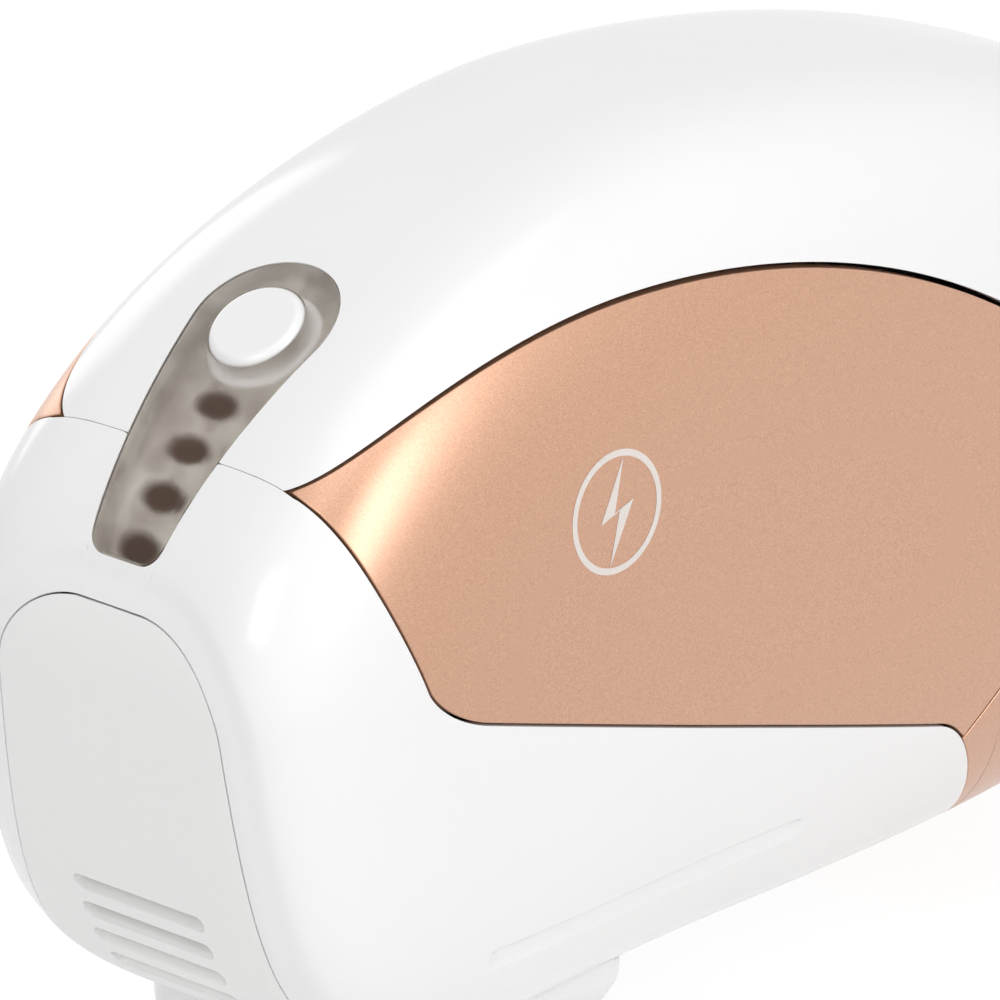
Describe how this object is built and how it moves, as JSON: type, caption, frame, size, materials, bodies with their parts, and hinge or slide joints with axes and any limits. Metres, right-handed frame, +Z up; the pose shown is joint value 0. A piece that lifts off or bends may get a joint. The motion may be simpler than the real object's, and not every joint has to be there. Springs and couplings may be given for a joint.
{
  "type": "ipl hair remover",
  "caption": "Handheld pulsed-light hair remover with a domed white housing, rose-gold side press panels, a front vent cap and a lift-off treatment head.",
  "frame": {"origin": "middle of the object's bounding box, on the plane of the treatment head's face", "axes": "+X from nose to tail along the body, +Y to the right-hand side, +Z up from the treatment face to the dome"},
  "size_m": [0.1483, 0.0468, 0.0861],
  "materials": {
    "white_gloss": "moulded gloss white ABS",
    "cap_grey": "fine satin light grey moulding",
    "rose_gold": "satin rose-gold metallic paint on plastic",
    "smoky_lens": "polished smoky translucent polycarbonate",
    "black_plastic": "moulded black plastic",
    "chassis_grey": "moulded grey plastic",
    "circuit_board": "green solder mask",
    "led_resin": "clear resin",
    "steel": "bright steel",
    "aluminium": "bright aluminium",
    "copper_coil": "enamelled copper winding",
    "transformer_tape": "yellow tape over a wound core",
    "capacitor_sleeve": "aluminium can in a dark sleeve",
    "quartz": "clear quartz glass",
    "amber_filter": "amber filter glass",
    "ceramic_white": "off-white heat-proof moulding"
  },
  "bodies": {
    "handset": {"upper_shell": "white_gloss", "lower_casing": "white_gloss", "front_vent_cap": "cap_grey", "grip_cover": "rose_gold", "indicator_lens": "smoky_lens", "light_guide": "black_plastic", "mode_switch": "black_plastic", "flash_switch_left": "black_plastic", "flash_switch_right": "black_plastic", "fan_housing": "black_plastic", "control_chips": "black_plastic", "power_jack": "black_plastic", "chassis": "chassis_grey", "led_board": "circuit_board", "main_board": "circuit_board", "status_leds": "led_resin", "panel_pivot_pins": "steel", "fan_motor": "steel", "casing_screws": "steel", "jack_pin": "steel", "lamp_electrodes": "steel", "heat_sink": "aluminium", "lamp_reflector": "aluminium", "charge_coil": "copper_coil", "trigger_transformer": "transformer_tape", "storage_capacitor": "capacitor_sleeve", "flash_lamp": "quartz", "filter_glass": "amber_filter", "lamp_holders": "ceramic_white"},
    "mode_button": {"mode_button": "white_gloss"},
    "flash_panel_left": {"flash_panel_left": "rose_gold", "panel_carrier_left": "white_gloss"},
    "flash_panel_right": {"flash_panel_right": "rose_gold", "panel_carrier_right": "white_gloss"},
    "fan": {"fan_rotor": "black_plastic"},
    "head": {"treatment_head": "white_gloss", "window_glass": "quartz", "skin_contacts": "steel"}
  },
  "joints": [
    {"name": "mode_button_press", "type": "slide", "parent": "handset", "child": "mode_button", "axis": [0.5316, 0, -0.847], "range_m": [0, 0.0005], "stiffness_N_per_m": 800, "springref_m": -0.0005},
    {"name": "flash_panel_left_press", "type": "hinge", "parent": "handset", "child": "flash_panel_left", "pos_m": [0.02822, -0.0172, 0.0455], "axis": [0, 0, -1], "range_deg": [0, 1.2], "stiffness_Nm_per_rad": 4, "springref_deg": -1.15},
    {"name": "flash_panel_right_press", "type": "hinge", "parent": "handset", "child": "flash_panel_right", "pos_m": [0.02822, 0.0172, 0.0455], "axis": [0, 0, 1], "range_deg": [0, 1.2], "stiffness_Nm_per_rad": 4, "springref_deg": -1.15},
    {"name": "fan_spin", "type": "hinge", "parent": "handset", "child": "fan", "pos_m": [-0.06178, 0, 0.0355], "axis": [1, 0, 0], "continuous": true},
    {"name": "head_pull", "type": "slide", "parent": "handset", "child": "head", "axis": [0, 0, -1], "range_m": [0, 0.02]}
  ]
}
